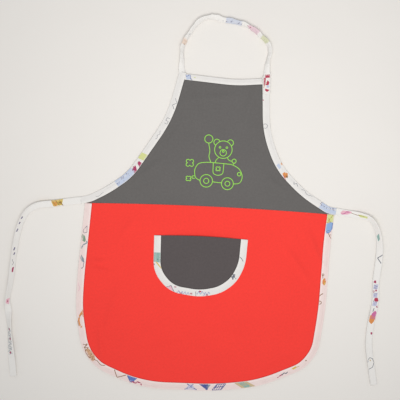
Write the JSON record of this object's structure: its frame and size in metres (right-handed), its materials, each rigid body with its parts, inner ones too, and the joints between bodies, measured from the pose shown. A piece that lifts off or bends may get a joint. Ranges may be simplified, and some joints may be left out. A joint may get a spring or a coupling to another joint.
{
  "type": "child's bib apron",
  "caption": "Child's fabric bib apron lying flat, with a patch pocket, an embroidered toy motif, printed edge binding, waist ties and an elastic neck strap.",
  "frame": {"origin": "centre of the underside of the sewn apron, without its ties and neck strap, on the surface it lies on", "axes": "+X along the waist towards the wearer's left, +Y from the hem to the neck, +Z out of the front face"},
  "size_m": [0.6015, 0.6022, 0.0038],
  "materials": {
    "red_cloth": "plain weave cotton",
    "grey_cloth": "plain weave cotton",
    "printed_tape": "white cotton tape with small printed patches of colour",
    "motif_thread": "lime embroidery thread",
    "fleece": "white stabilising fleece",
    "grey_thread": "dark sewing thread",
    "white_thread": "white sewing thread",
    "elastic": "white woven elastic"
  },
  "bodies": {
    "skirt": {"skirt_panel": "red_cloth", "skirt_overlock_thread": "white_thread", "skirt_binding": "printed_tape", "skirt_binding_stitching": "white_thread", "pocket_panel": "grey_cloth", "pocket_binding": "printed_tape", "pocket_stitching": "white_thread"},
    "waist": {"waist_seam_thread": "grey_thread"},
    "bib": {"bib_panel": "grey_cloth", "bib_overlock_thread": "white_thread", "bib_top_binding": "printed_tape", "bib_top_stitching": "white_thread", "left_armhole_binding": "printed_tape", "left_armhole_stitching": "white_thread", "right_armhole_binding": "printed_tape", "right_armhole_stitching": "white_thread", "embroidery_motif": "motif_thread", "embroidery_backing": "fleece", "left_strap_tab": "printed_tape", "right_strap_tab": "printed_tape", "strap_tab_stitching": "white_thread"},
    "neck_strap": {"neck_strap": "printed_tape", "neck_elastic": "elastic"},
    "left_tie": {"left_tie": "printed_tape", "left_tie_stitching": "white_thread"},
    "right_tie": {"right_tie": "printed_tape", "right_tie_stitching": "white_thread"}
  },
  "joints": [
    {"name": "waist_fold_back", "type": "hinge", "parent": "skirt", "child": "waist", "pos_m": [0, 0.0305, -0.001], "axis": [1, 0, 0], "range_deg": [-150, 0]},
    {"name": "waist_fold_forward", "type": "hinge", "parent": "waist", "child": "bib", "pos_m": [0, 0.042, 0.0032], "axis": [1, 0, 0], "range_deg": [0, 176]},
    {"name": "neck_strap_fold", "type": "hinge", "parent": "bib", "child": "neck_strap", "pos_m": [0.015, 0.25702, -0.0006], "axis": [1, 0.0046, 0], "range_deg": [-170, 0]},
    {"name": "left_tie_fold", "type": "hinge", "parent": "waist", "child": "left_tie", "pos_m": [-0.2019, 0.039, 0.00095], "axis": [-0.182, 0.9833, 0], "range_deg": [-90, 90]},
    {"name": "right_tie_fold", "type": "hinge", "parent": "waist", "child": "right_tie", "pos_m": [0.2056, 0.0398, 0.00095], "axis": [-0.142, -0.9899, 0], "range_deg": [-90, 90]}
  ]
}
